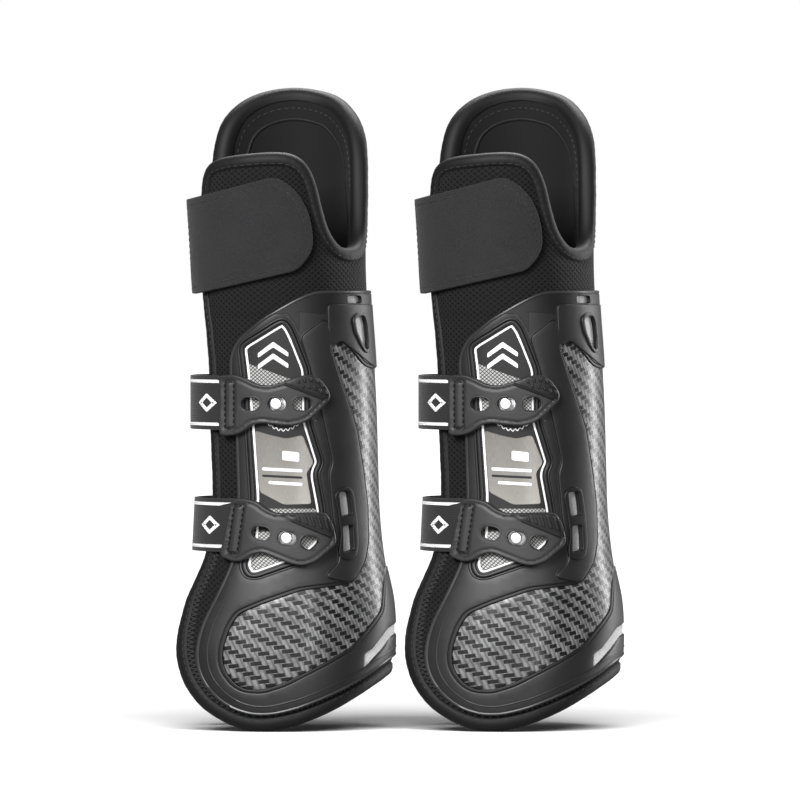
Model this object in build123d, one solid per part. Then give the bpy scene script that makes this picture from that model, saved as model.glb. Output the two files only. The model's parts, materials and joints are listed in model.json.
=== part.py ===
from build123d import *

import os
from math import copysign, hypot, sqrt

# A pair of open-front tendon boots for a horse's forelegs, standing side by side. Millimetres, +Z up.
#
# Each boot wraps a cannon bone from behind: -X is the open front where the straps cross, +X is the back of
# the leg, -Y is the outer side that carries the studs and +Y is the inner side with the taller knee lobe.
# Every layer follows one wrap surface: in plan a half circle at the back joined to a half ellipse at the
# front, whose size changes with height. A layer is the space between two offsets of that surface, trimmed by
# outlines drawn in the side view (X, Z).

# ---------------------------------------------------------------- driving dimensions
BOOT_SPACING = 108.0  # between the two boots' centre lines
PAIR_SHIFT_X = 1.6  # puts the origin at the middle of the pair
MESH_T = 1.1  # air-mesh fabric over the liner
GAP = 0.1  # air between glued or stitched layers
SHELL_IN, SHELL_OUT = 0.1, 2.7  # outer shell, as offsets from the wrap surface
SHELL_RAISED = 3.4  # its raised frames
POCKET = 1.7  # floor of the shell's pockets for the inserts
CARBON_TOP = 2.6
PANEL_TOP, PANEL_FLOOR = 3.5, 2.8  # the panel's rim, and the recess inside it
LEG_R = 31.0  # the liner's bore where it grips the cannon
LEG_X = 2.5  # that bore's centre, in front-to-back position
LEG_FRONT_X = -38.0
LEG_Z0, LEG_Z1 = 90.0, 170.0
STRAP_T = 1.6
TAB_T = 2.9
SEWN_TOP = 1.5  # a sewn elastic end inside its tab, above the strap's inner face
STUD_POST_R, STUD_HEAD_R, STUD_FLANGE_R = 1.7, 2.8, 4.2
WASHER_R, WASHER_IN, WASHER_OUT = 4.2, -1.3, -0.5
HOLE_LONG, HOLE_HIGH = 9.1, 6.3  # adjusting holes in the rubber tabs
BINDING_W = 4.6
BINDING_T = 0.9
FAR = 80.0  # longer than the boot is deep, for cutters

# Wrap surface: height, half width, rearmost X, foremost X.
WRAP = [
    (-8, 41.3, 42.5, -52), (15, 42.2, 46.0, -59), (38, 42.2, 47.2, -61), (60, 40.9, 46.4, -54),
    (80, 38.0, 42.4, -46.5), (100, 36.5, 40.2, -43.8), (125, 36.0, 39.3, -43.0), (150, 36.0, 38.6, -43.0),
    (175, 36.0, 37.3, -42.8), (205, 36.0, 35.3, -42.2), (230, 36.4, 34.9, -44.0), (255, 37.0, 35.6, -45.8),
    (280, 37.6, 36.6, -46.5), (312, 38.0, 37.0, -46.5),
]
CAVITY_LOW = [(-9, 35.5, 36.5, -46), (15, 36.5, 40.0, -53), (38, 36.5, 41.2, -55), (60, 35.0, 39.6, -48),
              (LEG_Z0, LEG_R, LEG_X + LEG_R, -38)]
CAVITY_HIGH = [(LEG_Z1, LEG_R, LEG_X + LEG_R, -38), (190, 30.5, 30.8, -37.2), (230, 30.4, 29.0, -38.5),
               (280, 31.6, 30.6, -41), (313, 32.0, 31.0, -41)]

# Side-view outlines, (x, z).
HEM = [
    (60, 35), (42.9, 23.4), (34.9, 18.4), (24.1, 11.8), (9.4, 5.4), (-4.2, 1.4), (-14.2, 0), (-24.3, 1.4),
    (-35.1, 6.1), (-44.5, 13.2), (-51.7, 25), (-53.9, 39.2), (-49.5, 59.9), (-42.9, 73.6), (-39.3, 82.8),
    (-36.8, 93.9), (-36, 112.7), (-37.1, 139.6), (-37.5, 168.4), (-38.9, 188.2), (-40.8, 206),
]
OUTER_LOBE = [
    (-41.6, 226), (-41.5, 249), (-41, 260), (-39.6, 265.6), (-35.4, 268.6), (-23.6, 270.3), (-9.4, 271.5),
    (-1.9, 271.5), (3.3, 270.3), (8, 266.5), (11.3, 259.9), (13.2, 252.4), (15.1, 243.4), (17.9, 234.4),
    (21.7, 228.3), (24.5, 226.2), (26, 262), (60, 262),
]
INNER_LOBE = [
    (-40.1, 230.7), (-37.7, 256.6), (-36.8, 268.4), (-35.4, 278.8), (-32.1, 288.2), (-24.5, 295.8),
    (-13.2, 300.5), (0, 302.4), (11.8, 301.4), (23.6, 298.1), (27, 296.3), (60, 296.3),
]
# Rear view of the scoop behind the knee, (y, z): low on the outer side, rising to the inner lobe.
SCOOP = [
    (-60, 225.5), (-24, 225.5), (-14, 226.5), (-8, 229.5), (-3, 238), (1, 252), (5, 266), (9, 276), (14, 284),
    (20, 290), (26, 297),
]
SCOOP_FRONT_X = 24.5
SHELL = [
    (60, 206.6), (25.9, 207.1), (13.2, 207.3), (7.1, 205.4), (0, 201.9), (-13.2, 194.3), (-25.5, 184),
    (-28.8, 176), (-28.8, 168.4), (-25.9, 139.6), (-25, 110.8), (-25.9, 93.9), (-27.9, 79.7), (-30.2, 74.1),
    (-35.1, 63.8), (-41.7, 50.9), (-44.5, 42.2), (-45.3, 34.9), (-44.2, 27.8), (-40.9, 21.2), (-35.1, 14.7),
    (-27.9, 10), (-18.5, 7.2), (-8.5, 7.2), (2.4, 9.7), (13.2, 13.7), (24.1, 18.4), (34.9, 24.1), (45, 30.7),
    (60, 41),
]
CARBON = [
    (60, 170.3), (40.6, 171.2), (35.8, 172.4), (31.1, 178.8), (24.1, 185.4), (18.4, 180.7), (22.6, 165.6),
    (26.9, 153.8), (30.2, 142.5), (33.5, 121.7), (35.4, 105.7), (35.8, 88.7), (34, 78.8), (30, 71.7),
    (23.6, 69.8), (4.7, 67.5), (-13.2, 61.3), (-25.5, 56.1), (-30.2, 49.1), (-33.5, 39.6), (-34, 32.5),
    (-32.1, 26.9), (-27.4, 21.2), (-21.9, 18.4), (-13.2, 17.9), (-2.4, 21.2), (19.3, 32.1), (30, 38.2),
    (39.6, 49.1), (44.3, 55.7), (45, 66.5), (46.2, 76.9), (60, 80),
]
HEAD_FRAME = [(17.8, 200.9), (60, 199.8), (60, 169), (40.6, 170), (24, 184), (18.4, 180.7)]
WING_FRAME = [
    (17, 194.3), (5, 185.4), (9.4, 171.7), (16, 145.8), (20.3, 125.9), (18.4, 121.2), (20.3, 100.9),
    (23.6, 79.7), (16.5, 72.6), (29.2, 69.5), (35.2, 78.8), (37, 88.7), (36.6, 105.7), (34.7, 121.7),
    (31.4, 142.5), (23.8, 165.6), (19, 180.7), (20.3, 183.5),
]
PANEL = [
    (-24.2, 180.5), (-22.2, 183.1), (-5.9, 193.3), (-3.1, 193.9), (-0.8, 192.8), (1.5, 189.6), (9.2, 170.2),
    (9.7, 145.8), (15.8, 126), (13.2, 121.2), (16.4, 103.9), (17, 93.9), (15.1, 86.8), (7.1, 79.7),
    (-15.8, 71.7), (-20.7, 72.2), (-23.3, 76.9), (-22.2, 83), (-19.3, 91.5), (-18.7, 110.8), (-20.6, 140.1),
    (-22.9, 169.3),
]
NAME_PLATE = [
    (-16.5, 141.5), (-8.5, 139.2), (-1.4, 137.7), (6.1, 139.4), (11.3, 126.2), (7.9, 121.5), (10.4, 106.8),
    (-2.8, 106.4), (-14.2, 112.3),
]
EMBLEM = [(-13.5, 177.5), (-7, 185.5), (-0.5, 177.5), (-2.6, 174.5), (-7, 180), (-11.4, 174.5)]
VENTS = [
    [(27.2, 205), (33.6, 204.6), (33.8, 201), (27.4, 201.2)],
    [(30.2, 193.6), (32.3, 195.4), (34.4, 195), (35.3, 191.5), (36.1, 184), (36.2, 179.8), (35.4, 179),
     (33.6, 182), (31.2, 188)],
    [(35.8, 36.1), (39.5, 38.4), (44.1, 44.1), (46.7, 47.6), (60, 54), (60, 50), (48.1, 43.4), (44.1, 38.2),
     (35.4, 29.2)],
]
SIDE_VENT = [(20.5, 110.9), (23.2, 114.2), (27.2, 114.9), (29.3, 112.7), (31.1, 99.5), (31.8, 88.7),
             (31.1, 82.1), (27.5, 79.9), (23.9, 81), (22.5, 83.5), (23.6, 92.2), (22.2, 103)]
SIDE_VENT_WINDOWS = [
    [(22.8, 112.3), (27.4, 112.6), (28.8, 101.4), (24.1, 100.9)],
    [(24.8, 96.5), (28.9, 96.9), (29.6, 84.9), (25, 83.8)],
]
GEL_PAD = [(-20, 30), (14, 36), (28, 62), (27, 190), (14, 190), (12, 78), (-24, 50)]
LOOP_PATCH = [(-34, 214), (2, 222), (4, 248), (-34, 242)]
HOOK_PATCH = [(-30, 215), (0, 223), (3, 246), (-30, 238)]

UPPER_TAB = [
    (-33.5, 167.4), (-25.5, 167.7), (-20.3, 165.6), (-15.6, 163.2), (-10.4, 162.5), (-5.7, 163.7),
    (4.7, 167.2), (10.4, 167.9), (13.7, 166.5), (17.5, 162.3), (19.6, 158), (18.4, 155.2), (9.9, 146.7),
    (6.1, 144.8), (0.5, 143.6), (-6.1, 144.1), (-12.7, 145), (-17.9, 144.3), (-22.2, 140.6), (-27.4, 138.9),
    (-33.5, 138.9),
]
LOWER_TAB = [
    (-27, 109.4), (-20.8, 109.4), (-15.6, 108), (-10.4, 104.2), (-6.1, 102.6), (0, 102.8), (13.2, 103.1),
    (17.5, 102.8), (20.8, 96.7), (22.2, 90.6), (21.6, 87.5), (12.3, 79.7), (6.1, 77.8), (0.5, 78.8),
    (-6.1, 81.4), (-13.2, 84.2), (-17.9, 83), (-22.2, 80), (-26.9, 79.5), (-33.5, 82.1),
]
TOP_STRAP = [
    (-70, 244), (-46.5, 250.5), (-8.5, 260.6), (-3.8, 259.2), (0.9, 256.1), (5.2, 250.9), (8.5, 244.3),
    (10.4, 236.3), (10.8, 229.2), (9.4, 224.5), (6.1, 219.8), (2.6, 216.5), (-40.6, 206.4), (-70, 199.5),
]

# Straps: heights, and ring rows (half width, back, front) of their inner faces at foot and head.
STRAP_RINGS = {
    "upper": (141.5, 167.0, (39.9, 43.2, -46.0), (39.9, 42.0, -46.0)),
    "lower": (84.0, 109.2, (42.2, 46.6, -45.2), (40.6, 44.2, -44.0)),
    "top": (198.0, 264.0, (38.0, 37.7, -44.2), (39.6, 38.3, -48.2)),
}
TAB_LIFT = 0.4  # tab's inner face above the elastic's
TAB_EDGE = {"upper": ((-33.5, 138.9), (-33.5, 167.4)), "lower": ((-33.5, 82.1), (-27.0, 109.4))}
HINGE_GAP = 1.8  # between an elastic's end and its tab, along X
ELASTIC_FAR_X = -9.0
FOLD_Y, FOLD_GAP = 16.8, 1.0  # top strap's two fold lines and half the space left at each
TOP_STRAP_SEWN_X = -6.0
HOLES = {
    "upper": [(-18.6, 153.9), (-5.9, 154.0), (5.9, 154.1)],
    "lower": [(-13.6, 93.2), (-1.3, 90.9), (9.6, 88.8)],
}
HOLE_TILT = {"upper": 0.0, "lower": 10.0}
STUDS = {"upper": (-5.5, 154.0), "lower": (-0.9, 90.9)}
STUD_TOP = {"upper": 7.9, "lower": 8.7}
SEWN = {
    "upper": [(-31.9, 165.6), (-25.6, 165.6), (-25.6, 141.2), (-31.9, 141.2)],
    "lower": [(-27.4, 107.2), (-20.6, 107.2), (-24.2, 82.4), (-30.8, 82.9)],
}
GRIP_RIBS = {
    "upper": [(3.5, 165.2), (6.5, 165.2), (9.5, 165.0)],
    "lower": [(6, 101.6), (9, 101.6), (12, 101.4)],
}
RIVETS_X = (-22.0, -14.0)
RIVET_BASE = {"upper": 4.0, "lower": 5.2}
RIVET_REACH = {"upper": 3.5, "lower": 2.9}


# ---------------------------------------------------------------- shape helpers
def ring(z, half_width, back, front):
    """Closed plan section at height z: a half circle at the back, a half ellipse at the front."""
    centre = back - half_width
    rear = CenterArc((centre, 0), half_width, -90, 180)
    fore = EllipticalCenterArc((centre, 0), centre - front, half_width, 90, arc_size=180)
    return Pos(0, 0, z) * make_face([rear, fore])


def loft_rings(rows, grow=0.0):
    return loft([ring(z, width + grow, back + grow, front - grow) for z, width, back, front in rows])


def layer(inner, outer):
    """The space between two offsets of the wrap surface."""
    return loft_rings(WRAP, outer) - loft_rings(WRAP, inner)


def side_prism(points, y0, y1, radius=0.0):
    """A side-view outline run from y0 to y1, with rounded corners if a radius is given."""
    path = [(x, 0, z) for x, z in points]
    line = FilletPolyline(*path, radius=radius, close=True) if radius else Polyline(*path, close=True)
    return Pos(0, y0, 0) * extrude(make_face(line), y1 - y0, dir=(0, 1, 0))


def near_prism(points, radius=0.0):
    return side_prism(points, -FAR, 0, radius)


def both_prism(points, radius=0.0):
    return side_prism(points, -FAR, FAR, radius)


def box(x0, x1, y0, y1, z0=-20.0, z1=330.0):
    return Pos((x0 + x1) / 2, (y0 + y1) / 2, (z0 + z1) / 2) * Box(x1 - x0, y1 - y0, z1 - z0)


def inset(points, amount):
    """The outline with each point moved inwards, square to the line between its neighbours."""
    area = sum(x0 * z1 - x1 * z0 for (x0, z0), (x1, z1) in zip(points, points[1:] + points[:1]))
    turn = amount if area > 0 else -amount
    moved = []
    for i, (x, z) in enumerate(points):
        (x0, z0), (x1, z1) = points[i - 1], points[(i + 1) % len(points)]
        length = hypot(x1 - x0, z1 - z0)
        moved.append((x - turn * (z1 - z0) / length, z + turn * (x1 - x0) / length))
    return moved


def scaled(points, amount):
    """A four-cornered outline with every corner moved out from the middle by amount in X and in Z."""
    mid_x = sum(x for x, _ in points) / len(points)
    mid_z = sum(z for _, z in points) / len(points)
    return [(x + copysign(amount, x - mid_x), z + copysign(amount, z - mid_z)) for x, z in points]


def wrap_point(x, z, grow, side):
    """A point of the wrap surface grown by an offset, and its outward normal; side is -1 outer, +1 inner."""
    above = next(i for i, row in enumerate(WRAP) if row[0] >= z)
    low, high = WRAP[above - 1], WRAP[above]
    share = (z - low[0]) / (high[0] - low[0])
    width, back, front = (low[k] + share * (high[k] - low[k]) for k in (1, 2, 3))
    centre = back - width
    reach = (width if x > centre else centre - front) + grow
    width += grow
    y = side * width * sqrt(1 - ((x - centre) / reach) ** 2)
    return Vector(x, y, z), Vector((x - centre) / reach**2, y / width**2, 0).normalized()


def post(spot, start, end, radius):
    """A cylinder along a spot's normal, from start to end measured from the spot."""
    at, normal = spot
    plane = Plane(origin=at + normal * start, z_dir=normal)
    return plane * Cylinder(radius, end - start, align=(Align.CENTER, Align.CENTER, Align.MIN))


def strap_band(strap, inner, outer, margin=0.0):
    """A strap's full band round the boot, between two offsets of its inner face."""
    z0, z1, foot, head = STRAP_RINGS[strap]
    slope = [(b - a) / (z1 - z0) for a, b in zip(foot, head)]
    low = [a - margin * s for a, s in zip(foot, slope)]
    high = [b + margin * s for b, s in zip(head, slope)]
    rows = [(z0 - margin, *low), (z1 + margin, *high)]
    return loft_rings(rows, outer) - loft_rings(rows, inner)


# ---------------------------------------------------------------- trimming solids
def edge_trim(binding=0.0):
    """Everything inside the boot's edge line, moved in by the binding's width if asked."""
    outer = near_prism(inset(HEM + OUTER_LOBE, binding))
    inner = side_prism(inset(HEM + INNER_LOBE, binding), 0, FAR)
    profile = [(y, z - binding) for y, z in SCOOP] + [(26, 340), (-60, 340)]
    scoop = make_face(Polyline(*[(SCOOP_FRONT_X - binding / 2, y, z) for y, z in profile], close=True))
    return outer + inner - extrude(scoop, FAR, dir=(1, 0, 0))


# ---------------------------------------------------------------- fastenings
def stud_spots():
    return {strap: wrap_point(*STUDS[strap], 0, -1) for strap in STUDS}


def studs():
    made = []
    for strap, spot in stud_spots().items():
        top = STUD_TOP[strap]
        flange = post(spot, PANEL_FLOOR + 0.1, PANEL_FLOOR + 0.6, STUD_FLANGE_R)
        shank = post(spot, WASHER_IN, top - 0.9, STUD_POST_R)
        head = post(spot, top - 1.6, top, STUD_HEAD_R)
        rim = head.edges().filter_by(GeomType.CIRCLE).sort_by_distance(spot[0] + spot[1] * top)[0]
        head = fillet(rim, 0.6)
        made.append((flange + shank + head).solid())
    return Compound(made)


def stud_washers():
    discs = [post(spot, WASHER_IN, WASHER_OUT, WASHER_R) - post(spot, -3, 3, STUD_POST_R + 0.05)
             for spot in stud_spots().values()]
    return Compound([disc.solid() for disc in discs])


def stud_pockets():
    return [post(spot, WASHER_IN - 0.3, 3, WASHER_R + 0.3) for spot in stud_spots().values()]


def stud_bores():
    return [post(spot, -6, 8, STUD_POST_R + 0.1) for spot in stud_spots().values()]


def rivet_spots(strap):
    z0, z1 = STRAP_RINGS[strap][:2]
    return [wrap_point(x, (z0 + z1) / 2, RIVET_BASE[strap], 1) for x in RIVETS_X]


def rivet_bores():
    return [post(spot, -8, 8, 1.3) for strap in RIVET_BASE for spot in rivet_spots(strap)]


def anchor_rivets():
    made = []
    for strap, reach in RIVET_REACH.items():
        for spot in rivet_spots(strap):
            made.append((post(spot, -3.4, reach, 1.2) + post(spot, reach - 0.3, reach + 1.0, 2.6)).solid())
    return Compound(made)


def anchor_plates():
    plates = []
    for strap in RIVET_BASE:
        plate = strap_band(strap, STRAP_T + 0.1, STRAP_T + 1.7, 1.0)
        plates.append((plate & box(-27, ELASTIC_FAR_X + 1, 0, FAR)) - rivet_bores())
    return Compound([plate.solid() for plate in plates])


# ---------------------------------------------------------------- straps
def elastic(strap):
    """Band from the rivets on the inner side round the front to its tab on the outer side."""
    (x0, z0), (x1, z1) = TAB_EDGE[strap]
    near = near_prism([(-70, z0 - 9), (x0 - HINGE_GAP, z0), (x1 - HINGE_GAP, z1), (-70, z1 + 9)])
    return (strap_band(strap, 0, STRAP_T) & (near + box(-70, ELASTIC_FAR_X, 0, FAR))) - rivet_bores()


def tab(strap):
    """Moulded rubber tab: pocket and window over the sewn end, three adjusting holes, a ribbed grip."""
    shape = strap_band(strap, TAB_LIFT, TAB_LIFT + TAB_T, 8) & near_prism(
        [(x, z) for x, z in (UPPER_TAB if strap == "upper" else LOWER_TAB)], 0.8)
    for x, z in GRIP_RIBS[strap]:
        rib = near_prism([(x, z), (x + 1.1, z), (x + 5.3, z - 6.5), (x + 4.2, z - 6.5)])
        shape += strap_band(strap, TAB_T, TAB_LIFT + TAB_T + 0.6, 8) & rib
    shape -= strap_band(strap, -1, SEWN_TOP + 0.05, 8) & near_prism(scaled(SEWN[strap], 1.0))
    shape -= near_prism(scaled(SEWN[strap], -1.3))
    for x, z in HOLES[strap]:
        hole = Plane.XZ * Pos(x, z) * Rot(0, 0, -HOLE_TILT[strap]) * SlotOverall(HOLE_LONG, HOLE_HIGH)
        shape -= extrude(hole, FAR)
    return shape


def sewn_end(strap):
    return strap_band(strap, TAB_LIFT + 0.05, SEWN_TOP - 0.05, 8) & near_prism(scaled(SEWN[strap], 0.8))


def top_strap(x0, x1, y0, y1):
    return strap_band("top", 0, STRAP_T) & both_prism(TOP_STRAP) & box(x0, x1, y0, y1)


# ---------------------------------------------------------------- shell
def outer_shell():
    shell = layer(SHELL_IN, SHELL_RAISED) & both_prism(SHELL)
    plain = both_prism(SHELL) - both_prism(HEAD_FRAME) - both_prism(WING_FRAME)
    shell -= (loft_rings(WRAP, 8) - loft_rings(WRAP, SHELL_OUT)) & plain
    shell -= (loft_rings(WRAP, 8) - loft_rings(WRAP, POCKET)) & (both_prism(CARBON) + near_prism(PANEL))
    for vent in VENTS + SIDE_VENT_WINDOWS:
        shell -= both_prism(vent)
    return shell - stud_bores() - rivet_bores()


def stud_panel():
    panel = layer(POCKET + 0.05, PANEL_TOP) & near_prism(inset(PANEL, 0.3))
    panel -= layer(PANEL_FLOOR, PANEL_TOP + 2) & near_prism(inset(PANEL, 2.2))
    return panel - stud_bores()


def panel_print(outline):
    """Something thin on the panel's floor."""
    return layer(PANEL_FLOOR + 0.05, PANEL_FLOOR + 0.55) & near_prism(outline)


def vent_screens():
    windows = [both_prism(inset(vent, 0.3)) & both_prism(vent) for vent in VENTS + SIDE_VENT_WINDOWS]
    cut = windows[0]
    for window in windows[1:]:
        cut += window
    return Compound(list((layer(SHELL_IN + 0.1, SHELL_IN + 0.8) & cut).solids()))


def side_vent_bezels():
    bezel = layer(SHELL_RAISED + 0.05, SHELL_RAISED + 0.8) & both_prism(SIDE_VENT, 0.8)
    for window in SIDE_VENT_WINDOWS:
        bezel -= both_prism(window)
    return Compound(list(bezel.solids()))


# ---------------------------------------------------------------- padding
def gel_pads():
    return Compound(list((layer(-3.6, -1.4) & both_prism(GEL_PAD)).solids()))


def neoprene_liner(trim):
    body = loft_rings(WRAP, -MESH_T - GAP) & trim
    bore = Pos(LEG_X, 0, (LEG_Z0 + LEG_Z1) / 2) * Cylinder(LEG_R, LEG_Z1 - LEG_Z0)
    grip_rows = [(z, LEG_R, LEG_X + LEG_R, LEG_FRONT_X) for z in (LEG_Z0 - 1, LEG_Z1 + 1)]
    front = loft_rings(grip_rows) & box(LEG_FRONT_X, LEG_X, -LEG_R, LEG_R, LEG_Z0, LEG_Z1)
    body = body - loft_rings(CAVITY_LOW) - loft_rings(CAVITY_HIGH) - bore - front
    body -= layer(-3.8, -1.1) & both_prism(inset(GEL_PAD, -0.3))
    return body - stud_pockets()


# ---------------------------------------------------------------- one boot, then the pair
def build_boot():
    trim = edge_trim()
    fold_in, fold_out = FOLD_Y - FOLD_GAP, FOLD_Y + FOLD_GAP
    parts = {
        "neoprene_liner": neoprene_liner(trim),
        "mesh_cover": (layer(-MESH_T, 0) & trim) - stud_pockets(),
        "edge_binding": (layer(GAP, BINDING_T) & trim) - edge_trim(BINDING_W),
        "gel_pads": gel_pads(),
        "outer_shell": outer_shell(),
        "carbon_insert": layer(POCKET + 0.05, CARBON_TOP) & both_prism(inset(CARBON, 0.25)),
        "stud_panel": stud_panel(),
        "panel_outline": panel_print(inset(PANEL, 2.5)) - near_prism(inset(PANEL, 3.3)),
        "name_plate": panel_print(NAME_PLATE),
        "emblem": panel_print(EMBLEM),
        "strap_studs": studs(),
        "stud_washers": stud_washers(),
        "vent_screens": vent_screens(),
        "side_vent_bezels": side_vent_bezels(),
        "strap_anchor_plates": anchor_plates(),
        "anchor_rivets": anchor_rivets(),
        "loop_patch": layer(GAP, 1.4) & near_prism(LOOP_PATCH),
        "hook_patch": strap_band("top", -0.5, -0.05) & near_prism(HOOK_PATCH),
        "top_strap_sewn_end": top_strap(-70, TOP_STRAP_SEWN_X, fold_out, FAR),
        "top_strap_bridge": top_strap(-70, 0, -fold_in, fold_in),
        "top_strap_tip": top_strap(-70, 20, -FAR, -fold_out),
    }
    for strap in STUDS:
        parts[f"{strap}_elastic"] = elastic(strap)
        parts[f"{strap}_tab"] = tab(strap)
        parts[f"{strap}_sewn_end"] = sewn_end(strap)
    return parts


def main():
    os.makedirs("parts", exist_ok=True)
    boot = build_boot()
    for side, sign in (("left", -1), ("right", 1)):
        place = Pos(sign * BOOT_SPACING / 2 + PAIR_SHIFT_X, 0, 0)
        for name, shape in boot.items():
            export_step(place * shape, f"parts/{side}_{name}.step")


if __name__ == "__main__":
    main()
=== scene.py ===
import json
import math

import bpy
import numpy as np
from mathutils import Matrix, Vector
from mathutils.geometry import delaunay_2d_cdt

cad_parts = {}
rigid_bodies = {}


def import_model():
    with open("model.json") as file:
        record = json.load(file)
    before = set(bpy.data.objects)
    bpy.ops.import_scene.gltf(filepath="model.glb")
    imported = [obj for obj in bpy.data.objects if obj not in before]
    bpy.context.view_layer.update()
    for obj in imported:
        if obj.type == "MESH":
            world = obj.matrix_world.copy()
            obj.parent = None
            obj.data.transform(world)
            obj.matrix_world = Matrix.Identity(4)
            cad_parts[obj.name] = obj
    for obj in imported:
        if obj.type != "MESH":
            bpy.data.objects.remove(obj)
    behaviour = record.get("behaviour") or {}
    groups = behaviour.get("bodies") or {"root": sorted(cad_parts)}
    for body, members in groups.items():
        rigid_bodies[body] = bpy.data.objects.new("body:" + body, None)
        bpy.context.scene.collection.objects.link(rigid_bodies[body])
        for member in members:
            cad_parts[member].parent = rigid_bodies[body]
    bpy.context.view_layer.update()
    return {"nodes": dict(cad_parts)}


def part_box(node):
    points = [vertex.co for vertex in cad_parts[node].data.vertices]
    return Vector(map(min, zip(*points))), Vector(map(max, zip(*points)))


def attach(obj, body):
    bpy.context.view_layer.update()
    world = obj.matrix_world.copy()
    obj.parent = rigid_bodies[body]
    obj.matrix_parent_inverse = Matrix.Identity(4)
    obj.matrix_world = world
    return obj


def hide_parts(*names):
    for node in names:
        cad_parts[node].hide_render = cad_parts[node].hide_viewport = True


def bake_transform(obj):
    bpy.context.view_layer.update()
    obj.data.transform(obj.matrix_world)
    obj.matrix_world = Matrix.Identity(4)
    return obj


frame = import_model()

MM = 0.001
S0 = 38.0  # the flat working plane's s is this many millimetres per radian round the leg
SIDES = ("left", "right")
HEM_REACH = 53.9  # how far the hem reaches forward of a boot's centre
BOOT_X = {side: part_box(f"{side}_mesh_cover")[0][0] / MM + HEM_REACH for side in SIDES}

# ---- surfaces, millimetres
# Rows: height, half width, rearmost X, foremost X of a plan section.
WRAP = [
    (-8, 41.3, 42.5, -52), (15, 42.2, 46.0, -59), (38, 42.2, 47.2, -61), (60, 40.9, 46.4, -54),
    (80, 38.0, 42.4, -46.5), (100, 36.5, 40.2, -43.8), (125, 36.0, 39.3, -43.0), (150, 36.0, 38.6, -43.0),
    (175, 36.0, 37.3, -42.8), (205, 36.0, 35.3, -42.2), (230, 36.4, 34.9, -44.0), (255, 37.0, 35.6, -45.8),
    (280, 37.6, 36.6, -46.5), (312, 38.0, 37.0, -46.5),
]
CAVITY = [
    (-9, 35.5, 36.5, -46), (15, 36.5, 40.0, -53), (38, 36.5, 41.2, -55), (60, 35.0, 39.6, -48),
    (90, 31, 33.5, -38), (130, 31, 33.5, -38), (170, 31, 33.5, -38), (190, 30.5, 30.8, -37.2),
    (230, 30.4, 29.0, -38.5), (280, 31.6, 30.6, -41), (313, 32.0, 31.0, -41),
]
UPPER = [
    (133, 39.9, 43.6, -46.0), (141.5, 39.9, 43.2, -46.0), (167, 39.9, 42.0, -46.0),
    (175, 39.9, 41.6, -46.0),
]
LOWER = [
    (76, 42.71, 47.36, -45.58), (84, 42.2, 46.6, -45.2), (109.2, 40.6, 44.2, -44),
    (117, 40.1, 43.46, -43.63),
]
TOP = [(198, 38.0, 37.7, -44.2), (264, 39.6, 38.3, -48.2)]

# Outlines in the side view (x, z). Those that pass BACK_X run on round the back.
BACK_X = 50
HEM = [
    (60, 35), (42.9, 23.4), (34.9, 18.4), (24.1, 11.8), (9.4, 5.4), (-4.2, 1.4), (-14.2, 0), (-24.3, 1.4),
    (-35.1, 6.1), (-44.5, 13.2), (-51.7, 25), (-53.9, 39.2), (-49.5, 59.9), (-42.9, 73.6), (-39.3, 82.8),
    (-36.8, 93.9), (-36, 112.7), (-37.1, 139.6), (-37.5, 168.4), (-38.9, 188.2), (-40.8, 206),
]
OUTER_LOBE = [
    (-41.6, 226), (-41.5, 249), (-41, 260), (-39.6, 265.6), (-35.4, 268.6), (-23.6, 270.3), (-9.4, 271.5),
    (-1.9, 271.5), (3.3, 270.3), (8, 266.5), (11.3, 259.9), (13.2, 252.4), (15.1, 243.4), (17.9, 234.4),
    (21.7, 228.3), (24.5, 226.2),
]
INNER_LOBE = [
    (-40.1, 230.7), (-37.7, 256.6), (-36.8, 268.4), (-35.4, 278.8), (-32.1, 288.2), (-24.5, 295.8),
    (-13.2, 300.5), (0, 302.4), (11.8, 301.4), (23.6, 298.1),
]
# The scoop behind the knee: distance across the leg, height.
SCOOP = [
    (-24, 225.5), (-14, 226.5), (-8, 229.5), (-3, 238), (1, 252), (5, 266), (9, 276), (14, 284), (20, 290),
]
SHELL = [
    (60, 206.6), (25.9, 207.1), (13.2, 207.3), (7.1, 205.4), (0, 201.9), (-13.2, 194.3), (-25.5, 184),
    (-28.8, 176), (-28.8, 168.4), (-25.9, 139.6), (-25, 110.8), (-25.9, 93.9), (-27.9, 79.7), (-30.2, 74.1),
    (-35.1, 63.8), (-41.7, 50.9), (-44.5, 42.2), (-45.3, 34.9), (-44.2, 27.8), (-40.9, 21.2), (-35.1, 14.7),
    (-27.9, 10), (-18.5, 7.2), (-8.5, 7.2), (2.4, 9.7), (13.2, 13.7), (24.1, 18.4), (34.9, 24.1), (45, 30.7),
    (60, 41),
]
CARBON = [
    (60, 170.3), (40.6, 171.2), (35.8, 172.4), (31.1, 178.8), (24.1, 185.4), (18.4, 180.7), (22.6, 165.6),
    (26.9, 153.8), (30.2, 142.5), (33.5, 121.7), (35.4, 105.7), (35.8, 88.7), (34, 78.8), (30, 71.7),
    (23.6, 69.8), (4.7, 67.5), (-13.2, 61.3), (-25.5, 56.1), (-30.2, 49.1), (-33.5, 39.6), (-34, 32.5),
    (-32.1, 26.9), (-27.4, 21.2), (-21.9, 18.4), (-13.2, 17.9), (-2.4, 21.2), (19.3, 32.1), (30, 38.2),
    (39.6, 49.1), (44.3, 55.7), (45, 66.5), (46.2, 76.9), (60, 80),
]
# Near-black strip and wedge under the top rim, in front of the head frame: painted shade of the recess there.
HEAD_SHADE_STRIP = [
    (60, 205.2), (26, 205.4), (13.2, 205.7), (7.4, 203.9), (0, 200.4), (-8, 196.2), (-3, 196.4), (4.6, 197.2),
    (10, 196.8), (17, 196), (17.6, 200.9), (60, 200),
]
HEAD_SHADE_WEDGE = [(-1.4, 197.0), (4.6, 197.4), (4.6, 187.2), (1.9, 192.6)]
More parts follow.
